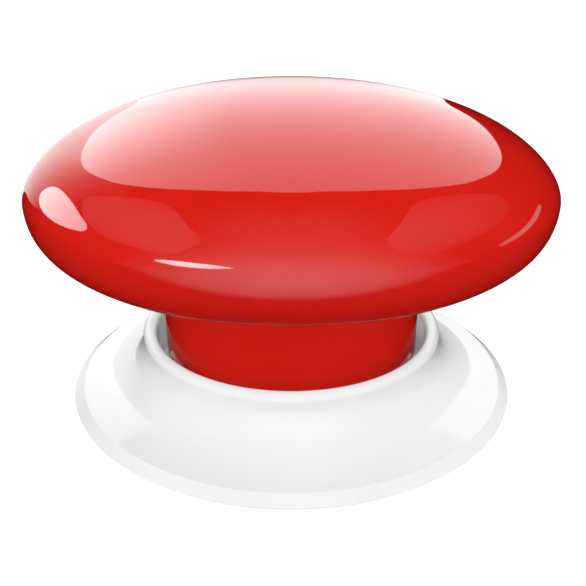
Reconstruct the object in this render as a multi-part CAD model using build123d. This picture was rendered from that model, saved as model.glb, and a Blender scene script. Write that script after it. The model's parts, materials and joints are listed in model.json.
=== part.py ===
"""Wireless push button: a lens-shaped cap on a short stem, twist-locked into a flared base.

Millimetres, +Z up, origin at the centre of the underside of the foot pad.
Radii grow outwards from the cell and heights grow upwards from the table, so a changed size
moves everything that stands on it.
"""
import os
from math import atan2, cos, degrees, radians, sin

from build123d import *

# Driving dimensions
DOME_RADIUS = 27.0
CROWN_RISE = 9.7
UNDER_DROP = 6.8
BASE_RADIUS = 24.7
CELL_RADIUS = 7.25
CELL_BODY_LENGTH = 24.5
PRESS_TRAVEL = 0.8
OVERRUN = 1.0

# Lens outline: the radii of its tangent arcs; the top and the underside close it by themselves
CROWN_EDGE_CURVE = 3.0
CROWN_EDGE_ANGLE = 44
CROWN_SIDE_CURVE = 20.5
UNDER_EDGE_CURVE = 5.75
UNDER_FLAT_MARGIN = 1.1

# Places around the axis, in degrees
FULL_ANGLE = 360
HALF_ANGLE = FULL_ANGLE / 2
THIRD_ANGLE = FULL_ANGLE / 3
QUARTER_ANGLE = FULL_ANGLE / 4
LEG_ANGLE = 90
SWITCH_ANGLE = 30
TWIST_RANGE = 30

# Foot pad and base plate
PAD_THICKNESS = 0.5
PAD_EDGE = 0.9
PAD_CHAMFER = 0.15
PLATE_THICKNESS = 1.0
PLATE_EDGE = 4.2
PLATE_CLEARANCE = 0.1
BARB_REACH = 0.35
BARB_HEIGHT = 0.4
BARB_SPAN = 14
GROOVE_CLEARANCE = 0.1

# Base shell
THROAT_GAP = 1.05
LIP_RADIUS = 0.75
LIP_CENTRE_HEIGHT = 6.1
RIM_LIFT = 0.15
RIM_EDGE = 0.15
BEVEL_WIDTH = 1.1
BEVEL_HEIGHT = 0.85
SKIRT_DROP_SHARE = 0.56
SKIRT_REACH_SHARE = 0.66
SKIRT_TOE_RISE = 0.25

# Bayonet between base shell and lock carrier
SLIDE_GAP = 0.1
LEDGE_THICKNESS = 1.0
LEDGE_STEM_GAP = 0.35
LEDGE_SPAN = 28
LUG_THICKNESS = 1.4
LUG_GAP = 0.25
LUG_SPAN = 26
STOP_SPAN = 3
STOP_GAP_ANGLE = 0.5

# Lock carrier
CARRIER_FLOOR = 0.8
FLOOR_LEDGE_GAP = 0.3
CARRIER_WALL_HEIGHT = 2.6
CARRIER_WALL = 1.2
LEG_WIDTH = 3.0
HOOK_THICKNESS = 0.6
HOOK_RAMP = 1.1
HOOK_CLEARANCE = 0.25
POST_WIDTH = 3.2
POST_THICKNESS = 2.0
POST_DRAFT = 0.35
POST_GAP = 0.1

# Wave spring
SPRING_HEIGHT = 1.8
SPRING_THICKNESS = 0.3
SPRING_EDGE = 0.3
SPRING_SEAT_GAP = 0.02
SPRING_WAVE_COUNT = 4
SPRING_STATION_COUNT = 48

# Stem
STEM_WALL = 1.5
GALLERY_WIDTH = 4.15
NECK_FILLET = 1.0
FILLET_OVERLAP = 0.3
GUIDE_DEPTH = 0.85
GUIDE_WIDTH = 1.2
GUIDE_HEIGHT = 4.8
GUIDE_GAP = 0.15
GUIDE_INSET = 0.4
WALL_BITE = 0.25
CATCH_THICKNESS = 1.0
CATCH_HEIGHT = 1.3
RUNNING_GAP = 0.2
STOP_GAP = 0.1

# Cap shells
COVER_WALL = 1.6
SEAM_DROP = 1.6
TONGUE_WALL = 0.9
TONGUE_INSET = 0.5
TONGUE_GAP = 0.15
TONGUE_DEPTH = 1.8
TONGUE_HEIGHT = 1.2
BOSS_RADIUS = 2.2

# Battery holder, contacts and cell
CELL_CLEARANCE = 0.25
SLEEVE_WALL = 1.0
SLEEVE_CAP = 1.0
HEADROOM = 1.4
ARM_WIDTH = 5.0
ARM_THICKNESS = 1.2
ARM_RIB = 1.0
ARM_RIB_DROP = 1.4
ARM_RIB_GAP = 3.4
WINDOW_WIDTH = 7.0
WINDOW_LOW = 5.0
WINDOW_HEIGHT = 9.0
CONTACT_THICKNESS = 0.2
CONTACT_WIDTH = 3.0
CONTACT_GAP = 0.05
CONTACT_DISC = 4.6
CONTACT_SLOT_GAP = 0.15
CONTACT_FOOT = 1.8
DIMPLE_HEIGHT = 0.3
DIMPLE_RADIUS = 1.2
DIMPLE_TIP = 0.6
UNDER_GAP = 0.3
CARRIER_CLEARANCE = 0.55
CELL_EDGE = 0.6
CELL_CRIMP = 0.35
CRIMP_DROP = 1.8
CRIMP_RADIUS = 0.5
NUB_RADIUS = 2.2
NUB_HEIGHT = 0.6

# Main board and its screws
BOARD_DROP = 1.8
BOARD_THICKNESS = 1.0
BOARD_MARGIN = 1.0
BOARD_HOLE_GAP = 0.4
BOARD_HOLE_MARGIN = 0.65
BOSS_INSET = 4.2
NOTCH_RADIUS = 1.0
SCREW_RADIUS = 1.0
SCREW_LENGTH = 6.0
SCREW_HOLE_GAP = 0.1
THREAD_GAP = 0.02
SCREW_HEAD_RADIUS = 1.9
SCREW_HEAD_HEIGHT = 1.2
SCREW_HEAD_EDGE = 0.3
SCREW_SLOT_WIDTH = 0.5
SCREW_SLOT_DEPTH = 0.6

# Tactile switches
SWITCH_SIZE = 4.5
SWITCH_HEIGHT = 1.9
SWITCH_GAP = 0.5
SWITCH_ROOF = 0.2
SWITCH_EDGE = 0.3
SWITCH_BORE = 1.7
COVER_PLATE = 0.15
COVER_MARGIN = 0.1
COVER_TAB_WIDTH = 1.4
COVER_TAB_DROP = 1.2
PLUNGER_RADIUS = 1.15
PLUNGER_GAP = 0.1
PLUNGER_FLANGE = 1.5
PLUNGER_FLANGE_HEIGHT = 0.5
PLUNGER_REACH = 0.95
PLUNGER_TIP = 0.25

# Radio module
MODULE_RADIAL = 8.6
MODULE_WIDTH = 12.0
MODULE_THICKNESS = 0.8
MODULE_ANGLE = 30
SHIELD_MARGIN = 0.5
SHIELD_HEIGHT = 1.8
SHIELD_WALL = 0.2
SHIELD_CORNER = 0.5
SHIELD_HOLE = 0.4
SHIELD_HOLE_PITCH = 2.0
SHIELD_HOLE_COUNT = 3
RADIO_CHIP = 5.0
RADIO_CHIP_HEIGHT = 0.9

# Other parts on the board
CONTROLLER_SIZE = 5.0
CONTROLLER_HEIGHT = 0.9
CONTROLLER_ANGLE = 308
LEAD_COUNT = 8
LEAD_WIDTH = 0.25
LEAD_REACH = 0.6
LEAD_HEIGHT = 0.2
CRYSTAL_LENGTH = 3.2
CRYSTAL_WIDTH = 2.5
CRYSTAL_HEIGHT = 0.8
CRYSTAL_CORNER = 0.4
CRYSTAL_ANGLE = 338
BUFFER_RADIUS = 3.15
BUFFER_HEIGHT = 5.4
BUFFER_FOOT = 0.9
BUFFER_FOOT_MARGIN = 0.15
BUFFER_GROOVE = 0.3
BUFFER_GROOVE_HEIGHT = 1.0
BUFFER_EDGE = 0.4
BUFFER_ANGLE = 270
BUZZER_RADIUS = 4.4
BUZZER_HEIGHT = 3.6
BUZZER_EDGE = 0.4
BUZZER_HOLE = 0.8
BUZZER_HOLE_DEPTH = 0.8
BUZZER_ANGLE = 150
CHIP_LENGTH = 1.6
CHIP_WIDTH = 0.8
CAPACITOR_HEIGHT = 0.8
RESISTOR_HEIGHT = 0.45
CAPACITOR_ANGLES = (68, 80, 106, 120, 180, 238)
RESISTOR_ANGLES = (4, 56, 116, 184, 240, 288)
CAPACITOR_MARGIN = 3.4
RESISTOR_EDGE_MARGIN = 2.7
ANTENNA_EDGE = 1.1
ANTENNA_WIRE = 0.4
ANTENNA_LIFT = 1.6
ANTENNA_START_ANGLE = 352
ANTENNA_SPAN_ANGLE = 150

# Radii, from the cell outwards
sleeve_inner = CELL_RADIUS + CELL_CLEARANCE
sleeve_outer = sleeve_inner + SLEEVE_WALL
strip_inner = sleeve_outer + CONTACT_GAP
strip_outer = strip_inner + CONTACT_THICKNESS
carrier_inner = strip_outer + CARRIER_CLEARANCE
stem_inner = sleeve_outer + GALLERY_WIDTH
stem_outer = stem_inner + STEM_WALL
bore_radius = stem_outer + THROAT_GAP
lip_centre = bore_radius + LIP_RADIUS
ledge_inner = stem_outer + LEDGE_STEM_GAP
lug_outer = bore_radius - LUG_GAP
floor_outer = ledge_inner - FLOOR_LEDGE_GAP
guide_inner = stem_inner - GUIDE_DEPTH
leg_outer = guide_inner - RUNNING_GAP
leg_inner = leg_outer - CARRIER_WALL
hook_outer = stem_inner - HOOK_CLEARANCE
switch_circle = sleeve_outer + SWITCH_GAP + SWITCH_SIZE / 2
plate_radius = BASE_RADIUS - PLATE_EDGE
pad_radius = plate_radius - PAD_EDGE
cover_inner = DOME_RADIUS - COVER_WALL
board_radius = cover_inner - TONGUE_INSET - TONGUE_WALL - BOARD_MARGIN
board_hole = sleeve_outer + BOARD_HOLE_GAP
boss_circle = board_radius - BOSS_INSET
parts_inner = board_hole + BOARD_HOLE_MARGIN
controller_length = CONTROLLER_SIZE + LEAD_REACH + LEAD_REACH
buffer_size = BUFFER_RADIUS + BUFFER_RADIUS + BUFFER_FOOT_MARGIN
capacitor_circle = board_hole + CAPACITOR_MARGIN + CHIP_LENGTH / 2
resistor_circle = board_radius - RESISTOR_EDGE_MARGIN - CHIP_LENGTH / 2

# Heights, from the table upwards
plate_top = PAD_THICKNESS + PLATE_THICKNESS
carrier_low = plate_top + SLIDE_GAP
floor_top = carrier_low + CARRIER_FLOOR
lug_top = carrier_low + LUG_THICKNESS
ledge_low = lug_top + SLIDE_GAP
ledge_top = ledge_low + LEDGE_THICKNESS
stem_low = floor_top + SPRING_HEIGHT
catch_low = stem_low + CATCH_HEIGHT
catch_top = catch_low + CATCH_THICKNESS
hook_low = catch_top + STOP_GAP
strip_low = plate_top + PRESS_TRAVEL + UNDER_GAP
cell_low = strip_low + CONTACT_THICKNESS + DIMPLE_HEIGHT + CONTACT_GAP
sleeve_low = strip_low + CONTACT_THICKNESS + CONTACT_GAP
cell_shoulder = cell_low + CELL_BODY_LENGTH
cell_top = cell_shoulder + NUB_HEIGHT
contact_low = cell_top + CONTACT_GAP + DIMPLE_HEIGHT
sleeve_ceiling = contact_low + CONTACT_THICKNESS
sleeve_top = sleeve_ceiling + SLEEVE_CAP
crown_top = sleeve_top + HEADROOM + COVER_WALL
rim_height = crown_top - CROWN_RISE
seam_height = rim_height - SEAM_DROP
underside = rim_height - UNDER_DROP
board_low = rim_height - BOARD_DROP
board_top = board_low + BOARD_THICKNESS
arm_low = board_low - ARM_THICKNESS
switch_low = board_low - SWITCH_HEIGHT
cover_low = switch_low - COVER_PLATE
plunger_low = cover_low - PLUNGER_REACH
post_top = plunger_low - POST_GAP


def at(radius, height):
    """Point of an outline that is turned about the axis."""
    return (radius, 0, height)


def turned(*edges):
    """Solid of revolution of a closed outline."""
    return revolve(make_face(edges), Axis.Z)


def turned_outline(*points):
    """Solid of revolution of a straight-sided outline."""
    return revolve(make_face(Polyline(*points, close=True)), Axis.Z)


def ring(outer, inner, low, high):
    """Upright tube between two heights."""
    return Pos(0, 0, low) * extrude(Circle(outer) - Circle(inner), high - low)


def disc(radius, low, high):
    """Upright cylinder between two heights."""
    return Pos(0, 0, low) * extrude(Circle(radius), high - low)


def sector(outer, inner, angle, span, low, high):
    """Piece of a tube, centred on an angle."""
    start = angle - span / 2
    outside = CenterArc((0, 0), outer, start, span)
    inside = CenterArc((0, 0), inner, start, span)
    sides = [Line(inside @ 0, outside @ 0), Line(inside @ 1, outside @ 1)]
    return Pos(0, 0, low) * extrude(make_face([outside, inside, *sides]), high - low)


def block(radial, width, low, high):
    """Upright box on the axis."""
    return Pos(0, 0, low) * extrude(Rectangle(radial, width), high - low)


def bar(near, far, width, low, high):
    """Upright box from one radius to another, along +X."""
    return Pos((near + far) / 2, 0, 0) * block(far - near, width, low, high)


def turn(shape, angle):
    """The shape turned about the axis."""
    return Rot(0, 0, angle) * shape


def place(shape, radius, angle):
    """The shape moved out to a radius and turned to an angle."""
    return Rot(0, 0, angle) * Pos(radius, 0, 0) * shape


def beside_hole(shape, length, angle):
    """A part of the board set beside the hole for the cell, with its length in line with the axis."""
    return place(shape, parts_inner + length / 2, angle)


def thirds(shape, angle):
    """Three copies around the axis."""
    return [turn(shape, angle + step * THIRD_ANGLE) for step in range(3)]


def fused(first, others):
    """One solid from a piece and what grows out of it."""
    for other in others:
        first = first + other
    return first


def save(name, *shapes):
    """Write one node, with as many solids as it has shapes."""
    shape = shapes[0] if len(shapes) == 1 else Compound(children=list(shapes))
    export_step(shape, f"parts/{name}.step")


def closing_radius(centre, radius, peak):
    """Radius of the arc that carries on from an arc around the centre and is level at the peak."""
    out = centre[0] - peak[0]
    rise = abs(peak[1] - centre[1])
    return (radius**2 - out**2 - rise**2) / (2 * (radius - rise))


def tangent_arc(centre, radius, start, end):
    """Arc from one angle to another, in degrees."""
    return CenterArc(centre, radius, start, end - start)


def lens(inset):
    """Solid lens of tangent arcs: the cap's outline, moved in by a wall."""
    edge = (DOME_RADIUS - CROWN_EDGE_CURVE, rim_height)
    lean = radians(CROWN_EDGE_ANGLE)
    back = CROWN_SIDE_CURVE - CROWN_EDGE_CURVE
    side = (edge[0] - back * cos(lean), edge[1] - back * sin(lean))
    top_curve = closing_radius(side, CROWN_SIDE_CURVE, (0, crown_top))
    top = (0, crown_top - top_curve)
    side_end = degrees(atan2(side[1] - top[1], side[0]))
    belly = (DOME_RADIUS - UNDER_EDGE_CURVE, rim_height)
    flat = stem_outer + NECK_FILLET + UNDER_FLAT_MARGIN
    under_curve = closing_radius(belly, UNDER_EDGE_CURVE, (flat, underside))
    under = (flat, underside + under_curve)
    belly_end = degrees(atan2(under[1] - belly[1], belly[0] - flat))
    arcs = [tangent_arc(under, under_curve - inset, -QUARTER_ANGLE, -belly_end),
            tangent_arc(belly, UNDER_EDGE_CURVE - inset, -belly_end, 0),
            tangent_arc(edge, CROWN_EDGE_CURVE - inset, 0, CROWN_EDGE_ANGLE),
            tangent_arc(side, CROWN_SIDE_CURVE - inset, CROWN_EDGE_ANGLE, side_end),
            tangent_arc(top, top_curve - inset, side_end, QUARTER_ANGLE)]
    closing = Polyline((0, crown_top - inset), (0, underside + inset), (flat, underside + inset))
    return revolve(Plane.XZ * make_face([*arcs, closing]), Axis.Z)


outer_lens = lens(0)
inner_lens = lens(COVER_WALL)
boss_lens = lens(COVER_WALL - WALL_BITE)
tongue_lens = lens(COVER_WALL + TONGUE_GAP)
above_seam = disc(DOME_RADIUS + OVERRUN, seam_height, crown_top + OVERRUN)
below_seam = disc(DOME_RADIUS + OVERRUN, underside - OVERRUN, seam_height)


def foot_pad():
    """Foam disc that the button stands on, or is stuck up by."""
    return turned_outline(at(0, 0), at(pad_radius - PAD_CHAMFER, 0), at(pad_radius, PAD_CHAMFER),
                          at(pad_radius, PAD_THICKNESS), at(0, PAD_THICKNESS))


def barb_height():
    """Height of the underside of the plate's barbs."""
    return PAD_THICKNESS + (PLATE_THICKNESS - BARB_HEIGHT) / 2


def base_plate():
    """Disc that closes the base, with three barbs that snap into the shell's groove."""
    low = barb_height()
    barb = sector(plate_radius - PLATE_CLEARANCE + BARB_REACH, plate_radius - BARB_REACH, 0,
                  BARB_SPAN, low, low + BARB_HEIGHT)
    plate = disc(plate_radius - PLATE_CLEARANCE, PAD_THICKNESS, plate_top)
    return fused(plate, thirds(barb, LEG_ANGLE))


def base_shell():
    """Flared base with a rounded collar, a bevelled rim and the bayonet ledges in its throat."""
    toe = BASE_RADIUS - BEVEL_WIDTH
    toe_height = RIM_LIFT + RIM_EDGE + BEVEL_HEIGHT
    shoulder = lip_centre + LIP_RADIUS
    drop = SKIRT_DROP_SHARE * (LIP_CENTRE_HEIGHT - toe_height)
    reach = SKIRT_REACH_SHARE * (toe - shoulder)
    lip = ThreePointArc(at(bore_radius, LIP_CENTRE_HEIGHT),
                        at(lip_centre, LIP_CENTRE_HEIGHT + LIP_RADIUS),
                        at(shoulder, LIP_CENTRE_HEIGHT))
    skirt = Bezier(at(shoulder, LIP_CENTRE_HEIGHT), at(shoulder, LIP_CENTRE_HEIGHT - drop),
                   at(toe - reach, toe_height + SKIRT_TOE_RISE), at(toe, toe_height))
    rim = Polyline(at(toe, toe_height), at(BASE_RADIUS, RIM_LIFT + RIM_EDGE),
                   at(BASE_RADIUS - RIM_EDGE, RIM_LIFT), at(plate_radius, RIM_LIFT),
                   at(plate_radius, plate_top), at(bore_radius, plate_top),
                   at(bore_radius, LIP_CENTRE_HEIGHT))
    shell = turned(lip, skirt, rim)
    low = barb_height() - GROOVE_CLEARANCE
    shell -= ring(plate_radius + BARB_REACH, plate_radius - OVERRUN, low,
                  low + BARB_HEIGHT + GROOVE_CLEARANCE + GROOVE_CLEARANCE)
    ledge = sector(bore_radius + WALL_BITE, ledge_inner, 0, LEDGE_SPAN, ledge_low, ledge_top)
    stop = sector(bore_radius + WALL_BITE, ledge_inner, 0, STOP_SPAN, plate_top, ledge_top)
    off = LUG_SPAN / 2 + STOP_GAP_ANGLE + STOP_SPAN / 2
    stops = thirds(stop, LEG_ANGLE - off) + thirds(stop, LEG_ANGLE + TWIST_RANGE + off)
    return fused(shell, thirds(ledge, LEG_ANGLE) + stops)


def snap_leg():
    """Leg of the carrier along +X, with the hook that holds the stem down."""
    top = hook_low + HOOK_THICKNESS + HOOK_RAMP
    outline = Polyline(at(leg_inner, carrier_low), at(leg_outer, carrier_low),
                       at(leg_outer, hook_low), at(hook_outer, hook_low),
                       at(hook_outer, hook_low + HOOK_THICKNESS), at(leg_outer, top),
                       at(leg_inner, top), close=True)
    return extrude(make_face(outline), LEG_WIDTH / 2, both=True)


def actuator_post():
    """Tapered post along +X that works one switch."""
    near = switch_circle - POST_THICKNESS / 2
    far = switch_circle + POST_THICKNESS / 2
    outline = Polyline(at(near, carrier_low), at(far, carrier_low),
                       at(far - POST_DRAFT, post_top), at(near + POST_DRAFT, post_top), close=True)
    return extrude(make_face(outline), POST_WIDTH / 2, both=True)


def lock_carrier():
    """Ring with bayonet lugs, snap legs for the stem and posts for the switches."""
    floor = ring(floor_outer, carrier_inner, carrier_low, floor_top)
    wall = ring(leg_outer, leg_inner, carrier_low, floor_top + CARRIER_WALL_HEIGHT)
    lug = sector(lug_outer, floor_outer - WALL_BITE, 0, LUG_SPAN, carrier_low, lug_top)
    grown = thirds(lug, LEG_ANGLE) + thirds(snap_leg(), LEG_ANGLE)
    return fused(floor + wall, grown + thirds(actuator_post(), SWITCH_ANGLE))


def spring_section(step):
    """Upright rectangle of the wave spring's wire at one station of the turn."""
    angle = step * FULL_ANGLE / SPRING_STATION_COUNT
    swing = (SPRING_HEIGHT - SPRING_THICKNESS) / 2 - SPRING_SEAT_GAP
    middle = floor_top + SPRING_HEIGHT / 2 + swing * sin(radians(SPRING_WAVE_COUNT * angle))
    near = stem_inner + SPRING_EDGE
    far = stem_outer - SPRING_EDGE
    low = middle - SPRING_THICKNESS / 2
    high = middle + SPRING_THICKNESS / 2
    outline = Polyline(at(near, low), at(far, low), at(far, high), at(near, high), close=True)
    return turn(make_face(outline), angle)


def wave_spring():
    """Flat wire ring that runs up and down between the carrier's floor and the stem."""
    half = SPRING_STATION_COUNT // 2
    halves = []
    for first in (0, half):
        sections = [spring_section(first + step) for step in range(half + 1)]
        halves.append(loft(sections, ruled=True))
    return halves[0] + halves[1]


def dome_cover():
    """Crown and rim of the cap, with three bosses for the board."""
    shell = (outer_lens - inner_lens) & above_seam
    boss = Pos(boss_circle, 0, 0) * disc(BOSS_RADIUS, board_top, crown_top)
    boss = boss & boss_lens
    hole = Pos(boss_circle, 0, 0) * disc(SCREW_RADIUS + THREAD_GAP, board_top - OVERRUN,
                                         arm_low + SCREW_LENGTH + THREAD_GAP)
    shell = fused(shell, thirds(boss, LEG_ANGLE))
    for cut in thirds(hole, LEG_ANGLE):
        shell = shell - cut
    return shell


def neck_fillet():
    """Concave round between the stem and the flat underside."""
    near = stem_outer - FILLET_OVERLAP
    far = stem_outer + NECK_FILLET
    low = underside - NECK_FILLET
    high = underside + FILLET_OVERLAP
    bend = CenterArc((far, low), NECK_FILLET, QUARTER_ANGLE, QUARTER_ANGLE)
    sides = Polyline((stem_outer, low), (near, low), (near, high), (far, high), (far, underside))
    return revolve(Plane.XZ * make_face([bend, sides]), Axis.Z)


def neck_shell():
    """Underside of the cap and the stem, with the guides and catches for the snap legs."""
    shell = (outer_lens & below_seam) + disc(stem_outer, stem_low, underside + FILLET_OVERLAP)
    shell = shell + neck_fillet()
    shell = shell - inner_lens
    shell = shell - disc(stem_inner, stem_low - OVERRUN, seam_height)
    tongue = ring(cover_inner, cover_inner - TONGUE_INSET - TONGUE_WALL,
                  seam_height - TONGUE_DEPTH, seam_height + TONGUE_HEIGHT)
    shell = shell + (tongue & outer_lens & below_seam) + (tongue & tongue_lens)
    offset = LEG_WIDTH / 2 + GUIDE_GAP + GUIDE_WIDTH / 2
    foot = stem_low + GUIDE_INSET
    guide = bar(guide_inner, stem_inner + WALL_BITE, GUIDE_WIDTH, foot, foot + GUIDE_HEIGHT)
    catch = bar(guide_inner, stem_inner + WALL_BITE, LEG_WIDTH + GUIDE_WIDTH, catch_low, catch_top)
    grown = thirds(Pos(0, offset, 0) * guide, LEG_ANGLE)
    grown += thirds(Pos(0, -offset, 0) * guide, LEG_ANGLE)
    return fused(shell, grown + thirds(catch, LEG_ANGLE))


def battery_cell():
    """Half-AA cell: a can with a crimped shoulder and a raised positive end."""
    top = cell_shoulder
    crimp = top - CRIMP_DROP
    points = [at(0, cell_low), at(CELL_RADIUS - CELL_EDGE, cell_low),
              at(CELL_RADIUS, cell_low + CELL_EDGE), at(CELL_RADIUS, crimp - CRIMP_RADIUS),
              at(CELL_RADIUS - CELL_CRIMP, crimp), at(CELL_RADIUS, crimp + CRIMP_RADIUS),
              at(CELL_RADIUS, top - CELL_CRIMP), at(CELL_RADIUS - CELL_CRIMP, top),
              at(NUB_RADIUS, top), at(NUB_RADIUS, cell_top), at(0, cell_top)]
    return turned_outline(*points)


def battery_holder():
    """Tube for the cell, closed at the top, with three arms that are screwed up with the board."""
    tube = disc(sleeve_outer, sleeve_low, sleeve_top)
    arm = bar(sleeve_inner + WALL_BITE, boss_circle, ARM_WIDTH, arm_low, board_low)
    arm = arm + (Pos(boss_circle, 0, 0) * disc(ARM_WIDTH / 2, arm_low, board_low))
    rib = bar(sleeve_inner + WALL_BITE, boss_circle - SCREW_HEAD_RADIUS - ARM_RIB_GAP, ARM_RIB,
              arm_low - ARM_RIB_DROP, arm_low)
    hole = Pos(boss_circle, 0, 0) * disc(SCREW_RADIUS + SCREW_HOLE_GAP, arm_low - OVERRUN, board_top)
    holder = fused(tube, thirds(arm + rib, LEG_ANGLE))
    for cut in thirds(hole, LEG_ANGLE):
        holder = holder - cut
    holder = holder - disc(sleeve_inner, sleeve_low - OVERRUN, sleeve_ceiling)
    window = bar(0, sleeve_outer + OVERRUN, WINDOW_WIDTH, sleeve_low + WINDOW_LOW,
                 sleeve_low + WINDOW_LOW + WINDOW_HEIGHT)
    slot = bar(-sleeve_outer - OVERRUN, 0, CONTACT_WIDTH + CONTACT_SLOT_GAP + CONTACT_SLOT_GAP,
               contact_low - CONTACT_SLOT_GAP, sleeve_ceiling)
    return holder - turn(window, SWITCH_ANGLE) - slot


def dimple(height, up):
    """Small cone pressed into a contact, towards the cell."""
    tip = height + DIMPLE_HEIGHT if up else height - DIMPLE_HEIGHT
    return turned_outline(at(0, height), at(DIMPLE_RADIUS, height), at(DIMPLE_TIP, tip), at(0, tip))


def positive_contact():
    """Disc over the cell's raised end, with a strip down the sleeve to the board."""
    face = disc(CONTACT_DISC, contact_low, sleeve_ceiling) + dimple(contact_low, False)
    bridge = bar(0, strip_outer, CONTACT_WIDTH, contact_low, sleeve_ceiling)
    strip = bar(strip_inner, strip_outer, CONTACT_WIDTH, board_top, sleeve_ceiling)
    foot = bar(strip_inner, strip_outer + CONTACT_FOOT, CONTACT_WIDTH, board_top,
               board_top + CONTACT_THICKNESS)
    return face + turn(bridge + strip + foot, HALF_ANGLE)


def negative_contact():
    """Spring strip under the cell, with a riser along the sleeve to the board."""
    face = strip_low + CONTACT_THICKNESS
    under = bar(-CONTACT_WIDTH, strip_outer, CONTACT_WIDTH, strip_low, face)
    strip = bar(strip_inner, strip_outer, CONTACT_WIDTH, strip_low, board_low)
    foot = bar(strip_inner, strip_outer + CONTACT_FOOT, CONTACT_WIDTH,
               board_low - CONTACT_THICKNESS, board_low)
    return under + dimple(face, True) + strip + foot


def main_board():
    """Round board with a hole for the battery sleeve."""
    board = ring(board_radius, board_hole, board_low, board_top)
    low = board_low - OVERRUN
    high = board_top + OVERRUN
    hole = Pos(boss_circle, 0, 0) * disc(SCREW_RADIUS + SCREW_HOLE_GAP, low, high)
    notch = Pos(board_radius, 0, 0) * disc(NOTCH_RADIUS, low, high)
    for cut in thirds(hole, LEG_ANGLE) + thirds(notch, SWITCH_ANGLE):
        board = board - cut
    return board


def board_screw():
    """Pan-head screw, driven from below through arm and board into a boss."""
    head_low = arm_low - SCREW_HEAD_HEIGHT
    screw = turned_outline(at(0, head_low), at(SCREW_HEAD_RADIUS - SCREW_HEAD_EDGE, head_low),
                           at(SCREW_HEAD_RADIUS, head_low + SCREW_HEAD_EDGE),
                           at(SCREW_HEAD_RADIUS, arm_low), at(SCREW_RADIUS, arm_low),
                           at(SCREW_RADIUS, arm_low + SCREW_LENGTH), at(0, arm_low + SCREW_LENGTH))
    reach = SCREW_HEAD_RADIUS - SCREW_HEAD_EDGE
    slot_top = head_low + SCREW_SLOT_DEPTH
    slot = bar(-reach, reach, SCREW_SLOT_WIDTH, head_low - OVERRUN, slot_top)
    return Pos(boss_circle, 0, 0) * (screw - slot - turn(slot, QUARTER_ANGLE))


def switch_housing():
    """Moulded body of a switch under the board, with the bore that its plunger slides in."""
    body = block(SWITCH_SIZE, SWITCH_SIZE, switch_low, board_low)
    body = chamfer(body.edges().filter_by(Axis.Z), SWITCH_EDGE)
    return body - disc(SWITCH_BORE, switch_low - OVERRUN, board_low - SWITCH_ROOF)


def switch_cover():
    """Steel frame of a switch, with two tabs folded up its sides."""
    size = SWITCH_SIZE + COVER_MARGIN + COVER_MARGIN
    plate = block(size, size, cover_low, switch_low)
    plate = chamfer(plate.edges().filter_by(Axis.Z), SWITCH_EDGE)
    plate -= disc(PLUNGER_RADIUS + PLUNGER_GAP, cover_low - OVERRUN, switch_low + OVERRUN)
    tab = bar(SWITCH_SIZE / 2, size / 2, COVER_TAB_WIDTH, cover_low, switch_low + COVER_TAB_DROP)
    return plate + turn(tab, QUARTER_ANGLE) + turn(tab, -QUARTER_ANGLE)


def switch_plunger():
    """Plunger that a post pushes up, held in by its flange."""
    flange_top = switch_low + PLUNGER_FLANGE_HEIGHT
    return turned_outline(at(0, plunger_low), at(PLUNGER_RADIUS - PLUNGER_TIP, plunger_low),
                          at(PLUNGER_RADIUS, plunger_low + PLUNGER_TIP),
                          at(PLUNGER_RADIUS, switch_low), at(PLUNGER_FLANGE, switch_low),
                          at(PLUNGER_FLANGE, flange_top), at(0, flange_top))


def radio_module():
    """Small board that carries the radio."""
    return block(MODULE_RADIAL, MODULE_WIDTH, board_top, board_top + MODULE_THICKNESS)


def radio_chip():
    """Radio chip under the shield."""
    low = board_top + MODULE_THICKNESS
    return block(RADIO_CHIP, RADIO_CHIP, low, low + RADIO_CHIP_HEIGHT)


def radio_shield():
    """Pressed can over the radio, open below, with a row of vent holes."""
    low = board_top + MODULE_THICKNESS
    high = low + SHIELD_HEIGHT
    radial = MODULE_RADIAL - SHIELD_MARGIN - SHIELD_MARGIN
    width = MODULE_WIDTH - SHIELD_MARGIN - SHIELD_MARGIN
    can = block(radial, width, low, high)
    can = fillet(can.edges().filter_by(Axis.Z), SHIELD_CORNER)
    can -= block(radial - SHIELD_WALL - SHIELD_WALL, width - SHIELD_WALL - SHIELD_WALL,
                 low - OVERRUN, high - SHIELD_WALL)
    for step in range(SHIELD_HOLE_COUNT):
        across = (step - (SHIELD_HOLE_COUNT - 1) / 2) * SHIELD_HOLE_PITCH
        can -= Pos(0, across, 0) * disc(SHIELD_HOLE, low, high + OVERRUN)
    return can


def microcontroller():
    """Flat chip with a row of leads on each side."""
    chip = block(CONTROLLER_SIZE, CONTROLLER_SIZE, board_top, board_top + CONTROLLER_HEIGHT)
    lead = bar(CONTROLLER_SIZE / 2, CONTROLLER_SIZE / 2 + LEAD_REACH, LEAD_WIDTH, board_top,
               board_top + LEAD_HEIGHT)
    pitch = CONTROLLER_SIZE / (LEAD_COUNT + 1)
    for side in range(4):
        for step in range(LEAD_COUNT):
            across = (step - (LEAD_COUNT - 1) / 2) * pitch
            chip += turn(Pos(0, across, 0) * lead, side * QUARTER_ANGLE)
    return chip


def crystal():
    """Ceramic crystal in a rounded can."""
    can = block(CRYSTAL_WIDTH, CRYSTAL_LENGTH, board_top, board_top + CRYSTAL_HEIGHT)
    return fillet(can.edges().filter_by(Axis.Z), CRYSTAL_CORNER)


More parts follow.
